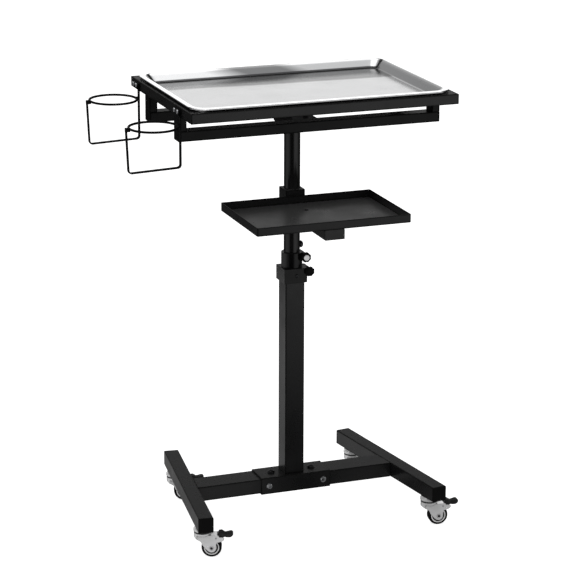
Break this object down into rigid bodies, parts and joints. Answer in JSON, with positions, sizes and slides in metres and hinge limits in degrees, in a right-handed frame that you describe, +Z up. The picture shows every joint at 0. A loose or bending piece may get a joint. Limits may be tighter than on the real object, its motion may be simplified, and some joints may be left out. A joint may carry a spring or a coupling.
{
  "type": "instrument cart",
  "caption": "Rolling instrument cart: height-adjustable pole on an H base with braked casters, lift-off steel tray in a tube frame, swivelling shelf and ring cup holders.",
  "frame": {"origin": "on the floor, under the middle of the overall box at rest; the column axis stands at X 38.0 mm, Y 15.4 mm", "axes": "+Z up; -Y is the front, where the shelf reaches out; -X is the side with the cup holders"},
  "size_m": [0.6771, 0.4292, 0.894],
  "materials": {
    "frame_paint": "satin black powder coat with a fine orange-peel texture",
    "pole_paint": "smoother semi-gloss black coat",
    "shelf_paint": "satin black powder coat",
    "holder_paint": "satin black powder coat",
    "moulded_black": "moulded black plastic, fine grain",
    "bush_plastic": "dark grey slippery plastic",
    "knob_plastic": "moulded black plastic",
    "knob_chrome": "polished cap",
    "black_bolts": "black oxide",
    "bright_fasteners": "zinc plated",
    "tray_steel": "polished stainless steel",
    "caster_bearing": "black cap over the swivel bearing",
    "caster_chrome": "bright plated pressed steel",
    "caster_hub": "light grey moulded",
    "caster_tyre": "black soft tread",
    "pedal_plastic": "moulded black plastic"
  },
  "bodies": {
    "base": {"base_sleeve": "frame_paint", "crossbar_left": "frame_paint", "crossbar_right": "frame_paint", "leg_left": "frame_paint", "leg_right": "frame_paint", "leg_end_caps": "moulded_black", "column": "frame_paint", "column_bush": "bush_plastic", "sleeve_bolts": "black_bolts", "column_socket": "moulded_black", "socket_screw": "black_bolts", "clamp_ring": "moulded_black", "clamp_nuts": "bright_fasteners", "caster_stems": "caster_bearing"},
    "socket_knob": {"socket_knob": "knob_plastic"},
    "clamp_knob": {"clamp_knob": "knob_plastic", "clamp_knob_cap": "knob_chrome"},
    "pole_slider": {"pole_slider": "bush_plastic"},
    "pole": {"pole": "pole_paint", "pole_stop_screw": "black_bolts", "pole_flange": "frame_paint", "cross_member": "frame_paint", "flange_bolts": "black_bolts", "under_rails": "frame_paint", "frame_posts": "frame_paint", "rail_end_caps": "moulded_black", "frame_long_tubes": "frame_paint", "frame_short_tubes": "frame_paint", "cup_holder_front": "holder_paint", "cup_holder_rear": "holder_paint", "cup_screws": "bright_fasteners"},
    "tray": {"steel_tray": "tray_steel"},
    "shelf_bush": {"shelf_bush": "bush_plastic"},
    "shelf": {"shelf_pan": "shelf_paint", "shelf_arm": "shelf_paint", "shelf_collar": "shelf_paint", "shelf_arm_cap": "moulded_black", "shelf_screws": "black_bolts"},
    "shelf_knob": {"shelf_knob": "knob_plastic"},
    "caster_front_left": {"caster_fork_front_left": "caster_chrome", "caster_axle_front_left": "caster_chrome"},
    "wheel_front_left": {"caster_wheel_front_left": "caster_hub", "caster_tyre_front_left": "caster_tyre"},
    "pedal_front_left": {"brake_pedal_front_left": "pedal_plastic"},
    "caster_front_right": {"caster_fork_front_right": "caster_chrome", "caster_axle_front_right": "caster_chrome"},
    "wheel_front_right": {"caster_wheel_front_right": "caster_hub", "caster_tyre_front_right": "caster_tyre"},
    "pedal_front_right": {"brake_pedal_front_right": "pedal_plastic"},
    "caster_rear_left": {"caster_fork_rear_left": "caster_chrome", "caster_axle_rear_left": "caster_chrome"},
    "wheel_rear_left": {"caster_wheel_rear_left": "caster_hub", "caster_tyre_rear_left": "caster_tyre"},
    "pedal_rear_left": {"brake_pedal_rear_left": "pedal_plastic"},
    "caster_rear_right": {"caster_fork_rear_right": "caster_chrome", "caster_axle_rear_right": "caster_chrome"},
    "wheel_rear_right": {"caster_wheel_rear_right": "caster_hub", "caster_tyre_rear_right": "caster_tyre"},
    "pedal_rear_right": {"brake_pedal_rear_right": "pedal_plastic"}
  },
  "joints": [
    {"name": "pole_height", "type": "slide", "parent": "base", "child": "pole_slider", "axis": [0, 0, 1], "range_m": [-0.004, 0.3]},
    {"name": "pole_swivel", "type": "hinge", "parent": "pole_slider", "child": "pole", "pos_m": [0.03798, 0.01542, 0.15], "axis": [0, 0, 1], "continuous": true},
    {"name": "tray_lift", "type": "slide", "parent": "pole", "child": "tray", "axis": [0, 0, 1], "range_m": [0, 0.06]},
    {"name": "shelf_height", "type": "slide", "parent": "pole", "child": "shelf_bush", "axis": [0, 0, 1], "range_m": [-0.05, 0.09]},
    {"name": "shelf_swivel", "type": "hinge", "parent": "shelf_bush", "child": "shelf", "pos_m": [0.03798, 0.01542, 0.66], "axis": [0, 0, 1], "continuous": true},
    {"name": "shelf_knob_turn", "type": "hinge", "parent": "shelf", "child": "shelf_knob", "pos_m": [0.03798, 0.04043, 0.6455], "axis": [0, 1, 0], "range_deg": [0, 360]},
    {"name": "socket_knob_turn", "type": "hinge", "parent": "base", "child": "socket_knob", "pos_m": [0.06578, -0.00458, 0.5165], "axis": [0, 1, 0], "range_deg": [0, 360]},
    {"name": "clamp_knob_turn", "type": "hinge", "parent": "base", "child": "clamp_knob", "pos_m": [0.05948, -0.00458, 0.545], "axis": [0, 1, 0], "range_deg": [0, 360]},
    {"name": "swivel_front_left", "type": "hinge", "parent": "base", "child": "caster_front_left", "pos_m": [-0.20204, -0.13411, 0.048], "axis": [0, 0, 1], "continuous": true},
    {"name": "roll_front_left", "type": "hinge", "parent": "caster_front_left", "child": "wheel_front_left", "pos_m": [-0.18519, -0.14044, 0.0198], "axis": [0.3518, 0.9361, 0], "continuous": true},
    {"name": "brake_front_left", "type": "hinge", "parent": "caster_front_left", "child": "pedal_front_left", "pos_m": [-0.17723, -0.14343, 0.0405], "axis": [0.3518, 0.9361, 0], "range_deg": [0, 12]},
    {"name": "swivel_front_right", "type": "hinge", "parent": "base", "child": "caster_front_right", "pos_m": [0.27799, -0.13411, 0.048], "axis": [0, 0, 1], "continuous": true},
    {"name": "roll_front_right", "type": "hinge", "parent": "caster_front_right", "child": "wheel_front_right", "pos_m": [0.29582, -0.13661, 0.0198], "axis": [0.1392, 0.9903, 0], "continuous": true},
    {"name": "brake_front_right", "type": "hinge", "parent": "caster_front_right", "child": "pedal_front_right", "pos_m": [0.30423, -0.13779, 0.0405], "axis": [0.1392, 0.9903, 0], "range_deg": [0, 12]},
    {"name": "swivel_rear_left", "type": "hinge", "parent": "base", "child": "caster_rear_left", "pos_m": [-0.15889, 0.17288, 0.048], "axis": [0, 0, 1], "continuous": true},
    {"name": "roll_rear_left", "type": "hinge", "parent": "caster_rear_left", "child": "wheel_rear_left", "pos_m": [-0.14151, 0.16822, 0.0198], "axis": [0.2588, 0.9659, 0], "continuous": true},
    {"name": "brake_rear_left", "type": "hinge", "parent": "caster_rear_left", "child": "pedal_rear_left", "pos_m": [-0.1333, 0.16602, 0.0405], "axis": [0.2588, 0.9659, 0], "range_deg": [0, 12]},
    {"name": "swivel_rear_right", "type": "hinge", "parent": "base", "child": "caster_rear_right", "pos_m": [0.23485, 0.17288, 0.048], "axis": [0, 0, 1], "continuous": true},
    {"name": "roll_rear_right", "type": "hinge", "parent": "caster_rear_right", "child": "wheel_rear_right", "pos_m": [0.25224, 0.16822, 0.0198], "axis": [0.2588, 0.9659, 0], "continuous": true},
    {"name": "brake_rear_right", "type": "hinge", "parent": "caster_rear_right", "child": "pedal_rear_right", "pos_m": [0.26045, 0.16602, 0.0405], "axis": [0.2588, 0.9659, 0], "range_deg": [0, 12]}
  ]
}
